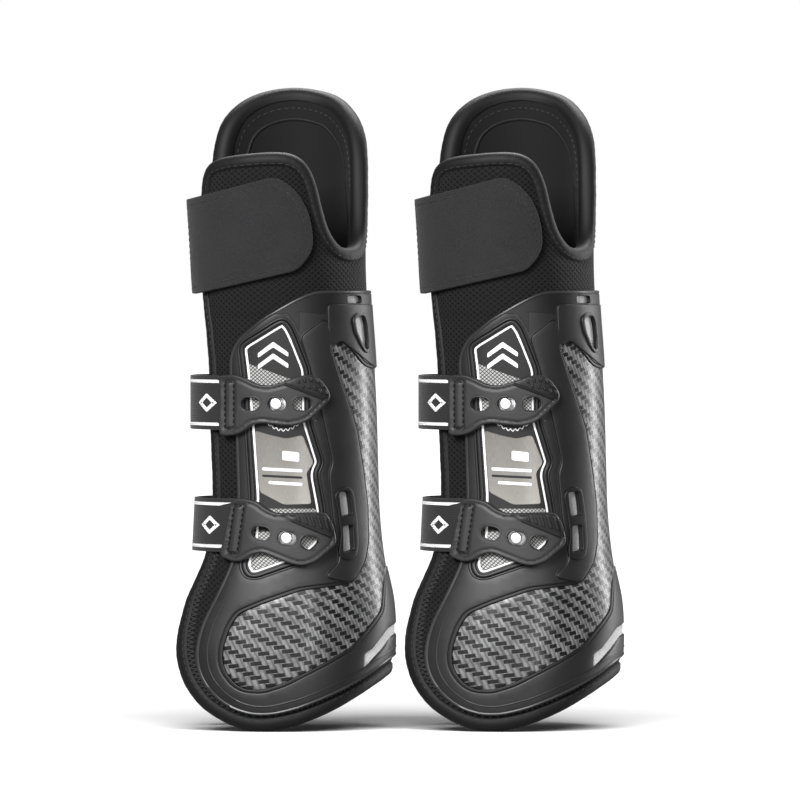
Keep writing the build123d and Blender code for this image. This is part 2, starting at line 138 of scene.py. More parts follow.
HEAD_FRAME = [(17.8, 200.9), (60, 199.8), (60, 169), (40.6, 170), (24, 184), (18.4, 180.7)]
WING_FRAME = [
    (17, 194.3), (5, 185.4), (9.4, 171.7), (16, 145.8), (20.3, 125.9), (18.4, 121.2), (20.3, 100.9),
    (23.6, 79.7), (16.5, 72.6), (29.2, 69.5), (35.2, 78.8), (37, 88.7), (36.6, 105.7), (34.7, 121.7),
    (31.4, 142.5), (23.8, 165.6), (19, 180.7), (20.3, 183.5),
]
PANEL = [
    (-24.2, 180.5), (-22.2, 183.1), (-5.9, 193.3), (-3.1, 193.9), (-0.8, 192.8), (1.5, 189.6), (9.2, 170.2),
    (9.7, 145.8), (15.8, 126), (13.2, 121.2), (16.4, 103.9), (17, 93.9), (15.1, 86.8), (7.1, 79.7),
    (-15.8, 71.7), (-20.7, 72.2), (-23.3, 76.9), (-22.2, 83), (-19.3, 91.5), (-18.7, 110.8), (-20.6, 140.1),
    (-22.9, 169.3),
]
NAME_PLATE = [
    (-16.5, 141.5), (-8.5, 139.2), (-1.4, 137.7), (6.1, 139.4), (11.3, 126.2), (7.9, 121.5), (10.4, 106.8),
    (-2.8, 106.4), (-14.2, 112.3),
]
HEAD_VENTS = [
    [(27.2, 205), (33.6, 204.6), (33.8, 201), (27.4, 201.2)],
    [(30.2, 193.6), (32.3, 195.4), (34.4, 195), (35.3, 191.5), (36.1, 184), (36.2, 179.8), (35.4, 179),
     (33.6, 182), (31.2, 188)],
]
HEEL_VENT = [
    (35.8, 36.1), (39.5, 38.4), (44.1, 44.1), (46.7, 47.6), (60, 54), (60, 50), (48.1, 43.4), (44.1, 38.2),
    (35.4, 29.2),
]
SIDE_VENT = [
    (20.5, 110.9), (23.2, 114.2), (27.2, 114.9), (29.3, 112.7), (31.1, 99.5), (31.8, 88.7), (31.1, 82.1),
    (27.5, 79.9), (23.9, 81), (22.5, 83.5), (23.6, 92.2), (22.2, 103),
]
SIDE_VENT_WINDOWS = [
    [(22.8, 112.3), (27.4, 112.6), (28.8, 101.4), (24.1, 100.9)],
    [(24.8, 96.5), (28.9, 96.9), (29.6, 84.9), (25, 83.8)],
]
LOOP_PATCH = [(-34, 214), (2, 222), (4, 248), (-34, 242)]
HOOK_PATCH = [(-30, 215), (0, 223), (3, 246), (-30, 238)]
UPPER_TAB = [
    (-33.5, 167.4), (-25.5, 167.7), (-20.3, 165.6), (-15.6, 163.2), (-10.4, 162.5), (-5.7, 163.7),
    (4.7, 167.2), (10.4, 167.9), (13.7, 166.5), (17.5, 162.3), (19.6, 158), (18.4, 155.2), (9.9, 146.7),
    (6.1, 144.8), (0.5, 143.6), (-6.1, 144.1), (-12.7, 145), (-17.9, 144.3), (-22.2, 140.6), (-27.4, 138.9),
    (-33.5, 138.9),
]
LOWER_TAB = [
    (-27, 109.4), (-20.8, 109.4), (-15.6, 108), (-10.4, 104.2), (-6.1, 102.6), (0, 102.8), (13.2, 103.1),
    (17.5, 102.8), (20.8, 96.7), (22.2, 90.6), (21.6, 87.5), (12.3, 79.7), (6.1, 77.8), (0.5, 78.8),
    (-6.1, 81.4), (-13.2, 84.2), (-17.9, 83), (-22.2, 80), (-26.9, 79.5), (-33.5, 82.1),
]
TOP_STRAP = [
    (-70, 244), (-46.5, 250.5), (-8.5, 260.6), (-3.8, 259.2), (0.9, 256.1), (5.2, 250.9), (8.5, 244.3),
    (10.4, 236.3), (10.8, 229.2), (9.4, 224.5), (6.1, 219.8), (2.6, 216.5), (-40.6, 206.4), (-70, 199.5),
]


class Surface:
    """A wrap round the leg: half a circle at the back, half an ellipse at the front, changing with height."""

    def __init__(self, rows):
        self.z, self.rows = np.array([r[0] for r in rows], float), np.array([r[1:] for r in rows], float)
        step = np.diff(self.z)[:, None]
        slope = np.diff(self.rows, axis=0) / step
        inner = (slope[:-1] * step[1:] + slope[1:] * step[:-1]) / (step[:-1] + step[1:])
        self.slope = np.vstack([slope[:1], inner, slope[-1:]])

    def section(self, z):
        """Half width, centre X and front reach at each height, by smooth interpolation."""
        z = np.clip(np.asarray(z, float), self.z[0], self.z[-1])
        k = np.clip(np.searchsorted(self.z, z, side="right") - 1, 0, len(self.z) - 2)
        h = (self.z[k + 1] - self.z[k])[..., None]
        t = (z - self.z[k])[..., None] / h
        a, b, ma, mb = self.rows[k], self.rows[k + 1], self.slope[k] * h, self.slope[k + 1] * h
        row = ((2 * t**3 - 3 * t**2 + 1) * a + (t**3 - 2 * t**2 + t) * ma
               + (3 * t**2 - 2 * t**3) * b + (t**3 - t**2) * mb)
        width, back, front = row[..., 0], row[..., 1], row[..., 2]
        return width, back - width, (back - width) - front

    def point(self, s, z, d):
        """Position of working-plane point (s, z), d millimetres above the surface."""
        width, centre, reach = self.section(z)
        phi = np.asarray(s, float) / S0
        along = np.where(np.cos(phi) > 0, width, reach) + d
        up = np.asarray(z, float) + 0 * phi
        return np.stack([centre + along * np.cos(phi), (width + d) * np.sin(phi), up], -1)

    def normal(self, s, z, d):
        """One millimetre outward from the same point."""
        return self.point(s, z, d + 1) - self.point(s, z, d)

    def flat(self, x, z, d, side=-1):
        """Working-plane s of the point seen from the side at (x, z); side is -1 outer, +1 inner."""
        width, centre, reach = self.section(z)
        x = np.asarray(x, float) - centre
        ratio = np.clip(x / (np.where(x > 0, width, reach) + d), -1, 1)
        return side * np.arccos(ratio) * S0


SURF = {name: Surface(rows) for name, rows in
        (("wrap", WRAP), ("cavity", CAVITY), ("upper", UPPER), ("lower", LOWER), ("top", TOP))}


# ---- outlines
FINE = 0.4  # spacing of points before an outline is laid on the working plane
TINY = 1e-6


def rounded(points, radius, closed=True):
    """Corners cut to smooth curves, starting at most radius from each corner."""
    pts = [np.array(p, float) for p in points]
    n, out = len(pts), []
    for i, p in enumerate(pts):
        if not closed and i in (0, n - 1):
            out.append(p)
            continue
        a, b = pts[i - 1], pts[(i + 1) % n]
        la, lb = np.linalg.norm(a - p), np.linalg.norm(b - p)
        start, end = p + (a - p) * min(radius / la, 0.5), p + (b - p) * min(radius / lb, 0.5)
        for t in np.linspace(0, 1, 5):
            out.append((1 - t)**2 * start + 2 * t * (1 - t) * p + t * t * end)
    return np.array(out)


def spaced(points, step, closed=True):
    """The same line with points about step apart."""
    pts = np.array(points, float)
    if closed:
        pts = np.vstack([pts, pts[:1]])
    moves = np.linalg.norm(np.diff(pts, axis=0), axis=1) > TINY
    pts = pts[np.concatenate([[True], moves])]
    run = np.concatenate([[0], np.cumsum(np.linalg.norm(np.diff(pts, axis=0), axis=1))])
    count = max(3, int(round(run[-1] / step)))
    at = np.linspace(0, run[-1], count + 1)
    out = np.stack([np.interp(at, run, pts[:, k]) for k in (0, 1)], -1)
    return out[:-1] if closed else out


def area(loop):
    """Signed area, positive for a loop that runs anticlockwise."""
    x, y = loop[:, 0], loop[:, 1]
    return 0.5 * np.sum(x * np.roll(y, -1) - np.roll(x, -1) * y)


def leftward(loop):
    """Unit directions to the left of a closed line, square to the line through each point's neighbours."""
    run = np.roll(loop, -1, 0) - np.roll(loop, 1, 0)
    run /= np.maximum(np.linalg.norm(run, axis=1, keepdims=True), 1e-9)
    return np.stack([-run[:, 1], run[:, 0]], -1)


def inward(loop):
    """The same directions, to the inside of the loop."""
    return leftward(loop) * (1.0 if area(loop) > 0 else -1.0)


def inset(loop, amount):
    """A loop with each point moved to the inside."""
    return loop + amount * inward(loop)


def seen(points, d=3.0, side=-1, radius=1.0, step=0.9, surface="wrap"):
    """A closed outline drawn in the side view, laid on the working plane."""
    line = spaced(rounded(points, radius), FINE)
    flat = np.stack([SURF[surface].flat(line[:, 0], line[:, 1], d, side), line[:, 1]], -1)
    return spaced(flat, step)


def across(points, d=3.0, radius=2.0, step=0.9):
    """A closed outline that runs round the back, from a side view that passes behind the leg."""
    start = next(i for i, p in enumerate(points) if p[0] > BACK_X and points[i - 1][0] > BACK_X)
    line = spaced(rounded(points[start:] + points[:start], radius, closed=False), FINE, closed=False)
    s = SURF["wrap"].flat(line[:, 0], line[:, 1], d)
    near = np.stack([s, line[:, 1]], -1)
    near = near[near[:, 0] < -FINE]
    ends = [np.array([[0.0, near[k, 1]]]) for k in (0, -1)]
    far = (near * [-1, 1])[::-1]
    return spaced(np.vstack([ends[0], near, ends[1], far]), step)


def inside(pts, loops):
    """True for points inside an odd number of loops."""
    hit = np.zeros(len(pts), bool)
    x, y = pts[:, 0], pts[:, 1]
    for loop in loops:
        nxt = np.roll(loop, -1, 0)
        for (x0, y0), (x1, y1) in zip(loop, nxt):
            if y0 == y1:
                continue
            hit ^= ((y0 > y) != (y1 > y)) & (x < (x1 - x0) * (y - y0) / (y1 - y0) + x0)
    return hit


def clear_of(pts, loops, gap):
    """True for points that keep a gap to every loop's own points."""
    keep = np.ones(len(pts), bool)
    for loop in loops:
        for p in loop:
            keep &= np.abs(pts - p).sum(1) > gap
    return keep


ROW_HEIGHT = 0.87  # of near-equilateral triangles, in steps


def triangles(loops, step):
    """Points and triangles that fill loops[0] less the other loops; the loops' own points come first."""
    edge = np.vstack(loops)
    low, high = edge.min(0), edge.max(0)
    xs, ys = np.arange(low[0], high[0], step), np.arange(low[1], high[1], step * ROW_HEIGHT)
    grid = np.array([(x + (0.5 * step if j % 2 else 0), y) for j, y in enumerate(ys) for x in xs])
    if len(grid):
        grid = grid[inside(grid, loops)]
    if len(grid):
        grid = grid[clear_of(grid, loops, 0.6 * step)]
    pts = np.vstack([edge, grid]) if len(grid) else edge
    links, base = [], 0
    for n in map(len, loops):
        links += [(base + i, base + (i + 1) % n) for i in range(n)]
        base += n
    verts, _, faces, origin, _, _ = delaunay_2d_cdt([Vector(p) for p in pts], links, [], 0, 1e-7)
    verts = np.array([tuple(v) for v in verts])
    faces = np.array([f for f in faces if len(f) == 3])
    faces = faces[inside(verts[faces].mean(1), loops)]
    where = {}
    for k, sources in enumerate(origin):
        for source in sources:
            where[source] = k
    return verts, faces, [where[i] for i in range(len(edge))]


# ---- pieces
SMALL_BEVEL = 0.25  # millimetres, up to here one facet is enough
UNDERSIDE = 1.6  # how much coarser an underside is
SHARP_ANGLE = math.radians(40)
THREAD_RING = np.arange(6) * math.pi / 3


class Piece:
    """One object's mesh, put together from patches, tubes and stitches that each have a finish."""

    def __init__(self, name, *nodes, slot):
        self.name, self.nodes, self.slot = name, nodes, slot
        self.verts, self.faces, self.uvs, self.finish = [], [], [], []
        self.count, self.finishes = 0, []

    def add(self, verts, faces, uvs, finish):
        if finish not in self.finishes:
            self.finishes.append(finish)
        self.verts.append(np.asarray(verts, float))
        self.uvs.append(np.asarray(uvs, float))
        self.faces += [tuple(int(i) + self.count for i in face) for face in faces]
        self.finish += [self.finishes.index(finish)] * len(faces)
        self.count += len(verts)

    def patch(self, loops, low, high, finish, surface="wrap", bevel=0.5, step=3.0, under=None, lift=None):
        """A closed sheet over loops[0] less the other loops, from low to high above a surface.

        Its upper edge is rounded by bevel, its underside may follow another surface, under, and lift adds
        relief to its upper face.
        """
        loops = [loop if (area(loop) > 0) == (k == 0) else loop[::-1] for k, loop in enumerate(loops)]
        run = [loop.copy() for loop in loops]
        surf, floor = SURF[surface], SURF[under or surface]
        verts, uvs, faces = [], [], []

        def put(flat, height, base=surf):
            extra = lift(flat) if lift is not None and base is surf and height > low else 0.0
            xyz = base.point(flat[:, 0], flat[:, 1], height + extra)
            start = sum(len(v) for v in verts)
            verts.append(xyz)
            width = base.section(flat[:, 1])[0]
            uvs.append(np.stack([flat[:, 0] / S0 * (width + height), flat[:, 1]], -1))
            return start

        turns = (0.0, 0.35, 0.7, 1.0) if bevel > SMALL_BEVEL else ((0.0, 1.0) if bevel else (0.0,))
        rings = []
        for turn in turns:
            a = turn * math.pi / 2
            moved = [loop + bevel * (1 - math.cos(a)) * leftward(loop) for loop in run]
            rings.append((moved, high - bevel * (1 - math.sin(a))))
        starts = [put(np.vstack(run), low, floor)] + [put(np.vstack(m), h) for m, h in rings[:-1]]
        inner, top = rings[-1]
        flat, tris, edge = triangles(inner, step)
        top_start = put(flat, top)
        faces += [tuple(top_start + k for k in tri) for tri in tris]
        base = 0
        for loop in run:
            n = len(loop)
            for i in range(n):
                j = (i + 1) % n
                levels = [(s + base + i, s + base + j) for s in starts]
                levels.append((top_start + edge[base + i], top_start + edge[base + j]))
                for (a0, a1), (b0, b1) in zip(levels, levels[1:]):
                    faces.append((a0, a1, b1, b0))
            base += n
        flat, tris, edge = triangles(run, step * UNDERSIDE)
        lower = put(flat, low, floor)
        swap = {lower + e: starts[0] + k for k, e in enumerate(edge)}
        faces += [tuple(swap.get(lower + k, lower + k) for k in tri[::-1]) for tri in tris]
        self.add(np.vstack(verts), faces, np.vstack(uvs), finish)

    def sweep(self, rings, finish, closed=True):
        """A tube through rings of points; rings join in a loop when closed."""
        n, m = len(rings), len(rings[0])
        verts = np.vstack(rings)
        faces = []
        for i in range(n if closed else n - 1):
            j = (i + 1) % n
            faces += [(i * m + k, j * m + k, j * m + (k + 1) % m, i * m + (k + 1) % m) for k in range(m)]
        if not closed:
            faces += [tuple(range(m))[::-1], tuple((n - 1) * m + k for k in range(m))]
        run = np.repeat(np.arange(n), m)[:, None]
        around = np.tile(np.arange(m), n)[:, None]
        self.add(verts, faces, np.hstack([run * 1.0, around * 0.8]), finish)

    def stitch(self, a, b, out, radius, finish):
        """One thread stitch from a to b, arched along out."""
        axis = (b - a) / max(np.linalg.norm(b - a), 1e-9)
        side = np.cross(out, axis)
        rings = []
        for t, grow in ((0, 0.35), (0.15, 0.85), (0.5, 1.0), (0.85, 0.85), (1, 0.35)):
            mid = a + (b - a) * t + out * radius * (0.9 * math.sin(math.pi * t) - 0.3)
            reach = radius * grow
            rings.append([mid + reach * (math.cos(q) * side + math.sin(q) * out) for q in THREAD_RING])
        self.sweep(rings, finish, closed=False)

    def build(self, side, body=None, blend=None):
        """The piece's object for one boot, riding a body, or baked in place and left unparented when blend is
        given.
        """
        shift = np.array([BOOT_X[side], 0, 0])
        verts, uvs = (np.vstack(self.verts) + shift) * MM, np.vstack(self.uvs)
        used = np.unique(np.concatenate([np.array(face) for face in self.faces]))
        place = np.zeros(len(verts), int)
        place[used] = np.arange(len(used))
        verts, uvs = verts[used], uvs[used]
        mesh = bpy.data.meshes.new(f"{side}_{self.name}")
        mesh.from_pydata(verts.tolist(), [], [tuple(place[list(face)].tolist()) for face in self.faces])
        layer = mesh.uv_layers.new(name="weave")
        index = np.zeros(len(mesh.loops), np.int32)
        mesh.loops.foreach_get("vertex_index", index)
        layer.data.foreach_set("uv", uvs[index].ravel())
        for name in self.finishes:
            mesh.materials.append(FINISH[name])
        mesh.polygons.foreach_set("material_index", self.finish)
        mesh.polygons.foreach_set("use_smooth", [True] * len(mesh.polygons))
        mesh.set_sharp_from_angle(angle=SHARP_ANGLE)
        mesh.validate()
        obj = bpy.data.objects.new(f"{side}_{self.name}", mesh)
        bpy.context.scene.collection.objects.link(obj)
        if blend:
            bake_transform(obj)
        else:
            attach(obj, f"{side}_{body or 'boot'}")
        if self.nodes:
            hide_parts(*[f"{side}_{node}" for node in self.nodes])
        return obj


# ---- finishes
def times(color, factor):
    return tuple(factor * c for c in color)


class Nodes:
    """Short forms for building a finish out of nodes."""

    def __init__(self, name):
        self.mat = bpy.data.materials.new(name)
        self.mat.use_nodes = True
        self.tree = self.mat.node_tree
        self.tree.nodes.clear()
        out = self.tree.nodes.new("ShaderNodeOutputMaterial")
        self.bsdf = self.tree.nodes.new("ShaderNodeBsdfPrincipled")
        self.tree.links.new(self.bsdf.outputs[0], out.inputs[0])

    def join(self, source, target):
        """Link an output to an input, or set the input to a number or a colour."""
        if isinstance(source, (int, float)):
            target.default_value = source
        elif isinstance(source, tuple):
            target.default_value = source if len(source) == len(target.default_value) else (*source, 1.0)
        else:
            self.tree.links.new(source, target)

    def node(self, kind, inputs=None, **settings):
        made = self.tree.nodes.new(kind)
        for key, value in settings.items():
            setattr(made, key, value)
        for key, value in (inputs or {}).items():
            self.join(value, made.inputs[key])
        return made

    def math(self, op, *values):
        return self.node("ShaderNodeMath", dict(enumerate(values)), operation=op).outputs[0]

    def add(self, a, b):
        return self.math("ADD", a, b)

    def sub(self, a, b):
        return self.math("SUBTRACT", a, b)

    def mul(self, a, b):
        return self.math("MULTIPLY", a, b)

    def uv(self, turn=0.0):
        """The two flat coordinates in millimetres, turned by an angle in degrees."""
        source = self.node("ShaderNodeUVMap", uv_map="weave")
        u, v = self.node("ShaderNodeSeparateXYZ", {0: source.outputs[0]}).outputs[:2]
        if turn:
            c, s = math.cos(math.radians(turn)), math.sin(math.radians(turn))
            u, v = (self.math("MULTIPLY_ADD", u, c, self.mul(v, -s)),
                    self.math("MULTIPLY_ADD", u, s, self.mul(v, c)))
        return u, v

    def noise(self, scale, detail=3.0, rough=0.5):
        place = self.node("ShaderNodeTexCoord").outputs["Object"]
        values = {"Vector": place, "Scale": scale, "Detail": detail, "Roughness": rough}
        return self.node("ShaderNodeTexNoise", values).outputs["Fac"]

    def ramp(self, value, low, high, a=0.0, b=1.0):
        return self.node("ShaderNodeMapRange", dict(enumerate((value, low, high, a, b)))).outputs[0]

    def mix(self, value, a, b):
        return self.node("ShaderNodeMix", {0: value, 6: a, 7: b}, data_type="RGBA").outputs[2]

    def bump(self, height, strength, distance):
        values = {"Strength": strength, "Distance": distance * MM, "Height": height}
        self.join(self.node("ShaderNodeBump", values).outputs[0], self.bsdf.inputs["Normal"])

    def set(self, **values):
        for key, value in values.items():
            self.join(value, self.bsdf.inputs[key.replace("_", " ")])
        return self.mat


def cell(n, value, size):
    """Whole cell number and the distance from the cell's middle, 0 to 1."""
    scaled = n.math("DIVIDE", value, size)
    part = n.math("FRACT", scaled)
    return n.math("FLOOR", scaled), n.mul(n.math("ABSOLUTE", n.sub(part, 0.5)), 2.0)


def mesh_finish(name, hole, thread, size, rough=0.75):
    """Knitted spacer mesh: small dark openings between raised diagonal threads."""
    n = Nodes(name)
    u, v = n.uv()
    steep = n.mul(v, 1.15)
    _, a = cell(n, n.add(u, steep), size)
    _, b = cell(n, n.sub(u, steep), size)
    raised = n.ramp(n.math("MAXIMUM", a, b), 0.45, 0.8)
    tint = n.mix(n.noise(900, 2), thread, times(thread, 1.5))
    n.bump(n.add(raised, n.mul(n.noise(2500), 0.25)), 1.0, 0.45)
    return n.set(Base_Color=n.mix(raised, hole, tint), Roughness=rough, Sheen_Weight=0.04,
                 Specular_IOR_Level=0.2)


def cloth_finish(name, color, grain, rough, sheen=0.3, bump=0.25, tight=1800.0):
    """Plain tightly knitted or brushed cloth."""
    n = Nodes(name)
    speck = n.noise(tight, 4, 0.7)
    tint = n.mix(n.ramp(speck, 0.3, 0.7), times(color, 1 - grain), times(color, 1 + grain))
    tint = n.mix(n.ramp(n.noise(60, 3), 0.35, 0.7, 0.0, 0.35), tint, times(color, 1.5))
    n.bump(speck, 0.8, bump)
    return n.set(Base_Color=tint, Roughness=rough, Sheen_Weight=sheen, Sheen_Roughness=0.5,
                 Specular_IOR_Level=0.25)


def moulded_finish(name, color, rough, grain=0.05):
    """Moulded polymer: fine spark-eroded grain, faint scuffs and slightly uneven gloss."""
    n = Nodes(name)
    fine, wide = n.noise(2600, 3, 0.6), n.noise(35, 4, 0.6)
    scuff = n.ramp(n.noise(240, 6, 0.75), 0.66, 0.8)
    tint = n.mix(n.ramp(wide, 0.3, 0.7), times(color, 0.85), times(color, 1.2))
    tint = n.mix(n.mul(scuff, 0.25), tint, times(color, 2.2))
    n.bump(fine, 0.6, grain)
    gloss = n.add(n.ramp(wide, 0.3, 0.7, rough - 0.05, rough + 0.06), n.mul(scuff, 0.12))
    return n.set(Base_Color=tint, Roughness=gloss, Specular_IOR_Level=0.42)


def carbon_finish(name, tow=1.9):
    """Two-by-two twill: short black tows across silver ones, under clear gloss."""
    n = Nodes(name)
    u, v = n.uv(turn=-9.0)
    row, b = cell(n, v, 1.14 * tow)
    along = n.math("FRACT", n.math("DIVIDE", n.math("MULTIPLY_ADD", row, 1.15 * tow, u), 4 * tow))
    dash = n.ramp(n.math("ABSOLUTE", n.sub(along, 0.5)), 0.225, 0.25, 1.0, 0.0)
    black = n.mul(dash, n.ramp(b, 0.8, 0.92, 1.0, 0.0))
    _, a = cell(n, n.math("MULTIPLY_ADD", v, 0.18, u), tow)
    patchy = n.ramp(n.noise(160, 2), 0.35, 0.65, 0.6, 1.1)
    fibre = n.mul(n.ramp(n.noise(1500, 3), 0.3, 0.7, 0.65, 1.15), patchy)
    # Silver tows lighter along their middles and darker towards their edges: painted highlight and shade of
    # the rounded tows.
    shine = n.mul(n.ramp(a, 0.2, 1.0, 1.0, 0.35), fibre)
    silver = n.mix(shine, (0.012, 0.012, 0.012), (0.24, 0.24, 0.245))
    worn = n.mix(n.ramp(n.noise(120, 2), 0.5, 0.7), (0.002, 0.002, 0.002), (0.02, 0.02, 0.02))
    n.bump(n.sub(n.sub(1.0, n.math("POWER", a, 2.0)), black), 0.4, 0.1)
    return n.set(Base_Color=n.mix(black, silver, worn), Roughness=0.45, Metallic=0.15, Coat_Weight=0.35,
                 Coat_Roughness=0.24, Specular_IOR_Level=0.3)


def halftone_finish(name, size=0.85):
    """Fine woven-metal print: light diamonds on black."""
    n = Nodes(name)
    u, v = n.uv(turn=45.0)
    _, a = cell(n, u, size * math.sqrt(2))
    _, b = cell(n, v, size * math.sqrt(2))
    light = n.ramp(n.math("MAXIMUM", a, b), 0.82, 0.62)
    n.bump(light, 0.5, 0.1)
    tint = n.mix(light, (0.006, 0.006, 0.006), (0.42, 0.42, 0.41))
    return n.set(Base_Color=tint, Roughness=0.45, Metallic=0.1)


def plate_finish(name):
    """Warm silver foil with fine vertical brushing."""
    n = Nodes(name)
    u, v = n.uv()
    place = n.node("ShaderNodeCombineXYZ", {0: n.mul(u, 9.0), 1: n.mul(v, 0.35)})
    lines = n.node("ShaderNodeTexNoise", {"Vector": place.outputs[0], "Scale": 1.0}).outputs["Fac"]
    color = n.mix(n.ramp(v, 106.0, 142.0), (0.27, 0.255, 0.235), (0.17, 0.16, 0.15))
    color = n.mix(n.ramp(lines, 0.3, 0.7, 0.0, 0.4), color, (0.4, 0.385, 0.36))
    n.bump(lines, 0.25, 0.04)
    return n.set(Base_Color=color, Roughness=0.36, Metallic=0.55)


def elastic_finish(name, color):
    """Ribbed woven elastic: narrow ribs along the band."""
    n = Nodes(name)
    u, v = n.uv()
    _, rib = cell(n, v, 0.8)
    _, pick = cell(n, u, 0.6)
    depth = n.add(0.6, n.mul(pick, 0.4))
    weave = n.sub(1.0, n.mul(rib, depth))
    n.bump(weave, 0.8, 0.16)
    # The band is darker in the grooves between ribs and lighter on their crests: painted shade.
    tint = n.mix(weave, times(color, 0.5), times(color, 1.3))
    return n.set(Base_Color=tint, Roughness=0.72, Sheen_Weight=0.2)


def steel_finish(name, color):
    """Bright steel with a faint unevenness."""
    n = Nodes(name)
    fine = n.noise(1200, 5, 0.8)
    n.bump(fine, 0.3, 0.02)
    tint = n.mix(n.ramp(fine, 0.3, 0.7), times(color, 0.85), color)
    return n.set(Base_Color=tint, Metallic=1.0, Roughness=n.ramp(n.noise(90), 0.3, 0.7, 0.3, 0.42))


FINISH = {name: make(name, *values) for name, make, *values in (
    ("air_mesh", mesh_finish, (0.0008, 0.0008, 0.0008), (0.0065, 0.0065, 0.007), 3.0),
    ("vent_mesh", mesh_finish, (0.2, 0.2, 0.2), (0.75, 0.75, 0.76), 0.9, 0.6),
    # A lighter copy of vent_mesh: painted highlight
    ("bright_mesh", mesh_finish, (0.6, 0.6, 0.6), (0.95, 0.95, 0.95), 0.9, 0.6),
    ("neoprene", cloth_finish, (0.0035, 0.0035, 0.004), 0.3, 0.8, 0.1, 0.12),
    ("binding", cloth_finish, (0.004, 0.004, 0.0045), 0.2, 0.58, 0.04, 0.08, 2600),
    ("strap", cloth_finish, (0.017, 0.017, 0.018), 0.5, 0.85, 0.1, 0.4, 1500),
    ("hook_and_loop", cloth_finish, (0.008, 0.008, 0.009), 0.7, 0.95, 0.4, 0.8, 1100),
    ("thread", cloth_finish, (0.02, 0.02, 0.021), 0.3, 0.6, 0.15, 0.1, 3000),
    ("gel", moulded_finish, (0.1, 0.11, 0.12), 0.3),
    ("tpu", moulded_finish, (0.011, 0.011, 0.0117), 0.46),
    # Near-black TPU for dark parts, also laid in creases and recesses as painted shade
    ("tpu_dark", moulded_finish, (0.003, 0.003, 0.003), 0.5),
    # A lighter, glossier copy of the shell's TPU for its edge bead: painted highlight
    ("tpu_edge", moulded_finish, (0.026, 0.026, 0.027), 0.36),
    ("rubber", moulded_finish, (0.023, 0.023, 0.024), 0.48, 0.07),
    ("rubber_grip", moulded_finish, (0.012, 0.012, 0.013), 0.4, 0.07),
    ("carbon", carbon_finish),
    ("halftone", halftone_finish),
    ("plate", plate_finish),
    ("elastic", elastic_finish, (0.006, 0.006, 0.0065)),
    ("white", elastic_finish, (0.85, 0.85, 0.85)),
    ("white_print", moulded_finish, (0.9, 0.9, 0.9), 0.45),
    ("steel", steel_finish, (0.9, 0.9, 0.91)),
)}


# ---- lines that several pieces follow
EDGE_SMOOTHING, EDGE_RADIUS = 14, 6.0


def mirrored(loop):
    return loop * [-1, 1]


def edge_line():
    """The boot's edge on the working plane: outer side, scoop behind the knee, inner side and hem."""
    wrap, halves = SURF["wrap"], []
    for lobe, side in ((OUTER_LOBE, -1), (INNER_LOBE, 1)):
        line = spaced(rounded(HEM + lobe, EDGE_RADIUS, closed=False), 0.5, closed=False)
        flat = np.stack([wrap.flat(line[:, 0], line[:, 1], 0, side), line[:, 1]], -1)
        halves.append(flat[np.abs(flat[:, 0]) > 0.3])
    y, z = np.array(SCOOP, float).T
    scoop = np.stack([S0 * np.arcsin(y / wrap.section(z)[0]), z], -1)
    scoop = spaced(rounded(scoop, EDGE_RADIUS, closed=False), 0.5, closed=False)
    line = spaced(np.vstack([halves[0], scoop, halves[1][::-1]]), 1.5)
    for _ in range(EDGE_SMOOTHING):
        line = (np.roll(line, 1, 0) + 2 * line + np.roll(line, -1, 0)) / 4
    return line


def stretch(path, keep):
    """The run of a closed path's points that pass a test."""
    on = keep(path)
    start = np.flatnonzero(on & ~np.roll(on, 1))[0]
    return np.roll(path, -start, 0)[np.roll(on, -start)]


def oval(x, z, tilt, grow=0.0, long=9.1, high=6.3):
    """A slot with round ends, in the side view."""
    r, half, points = high / 2 + grow, (long - high) / 2, []
    for end, start in ((1, -90), (-1, 90)):
        for k in range(9):
            a = math.radians(start + 22.5 * k)
            points.append((end * half + r * math.cos(a), r * math.sin(a)))
    c, s = math.cos(math.radians(tilt)), math.sin(math.radians(tilt))
    return [(x + c * p - s * q, z + s * p + c * q) for p, q in points]


def seam(piece, line, height, finish, surface="wrap", length=2.0, gap=0.9, radius=0.3, sign=1):
    """Thread stitches along a closed line; sign -1 arches them to the leg."""
    surf, path = SURF[surface], spaced(line, length + gap)
    for p, q in zip(path, np.roll(path, -1, 0)):
        a, b = surf.point(*p, height), surf.point(*(p + (q - p) * length / (length + gap)), height)
        piece.stitch(a, b, sign * surf.normal(*p, height), radius, finish)


def braid(piece, line, height, finish, keep, width=3.0, pitch=1.1, radius=0.42):
    """Zig-zag overlock stitching along a line."""
    path, wrap = spaced(line, pitch), SURF["wrap"]
    turn = 1.0 if area(path) > 0 else -1.0
    for k, (p, q) in enumerate(zip(path, np.roll(path, -1, 0))):
        if not (keep(p) and keep(q)):
            continue
        run = (q - p) / np.linalg.norm(q - p)
        side = turn * np.array([-run[1], run[0]]) * width / 2 * (1 if k % 2 else -1)
        a, b = wrap.point(*(p + side), height), wrap.point(*(q - side), height)
        piece.stitch(a, b, wrap.normal(*p, height), radius, finish)


def cord(piece, path, height, radius, finish, surface="wrap", closed=False):
    """A round bead along a line."""
    surf, rings = SURF[surface], []
    nxt = np.roll(path, -1, 0) if closed else np.vstack([path[1:], 2 * path[-1:] - path[-2:-1]])
    for p, q in zip(path, nxt):
        run = (q - p) / np.linalg.norm(q - p)
        side = np.array([-run[1], run[0]])
        rings.append([surf.point(*(p + side * radius * math.cos(t)), height + radius * math.sin(t))
                      for t in np.linspace(0, 2 * math.pi, 9)[:-1]])
    piece.sweep(rings, finish, closed)


def nearest(flat, loop):
    """Distance from each point to the closest point of a loop."""
    best = np.full(len(flat), 1e9)
    for p in loop:
        best = np.minimum(best, np.hypot(flat[:, 0] - p[0], flat[:, 1] - p[1]))
    return best


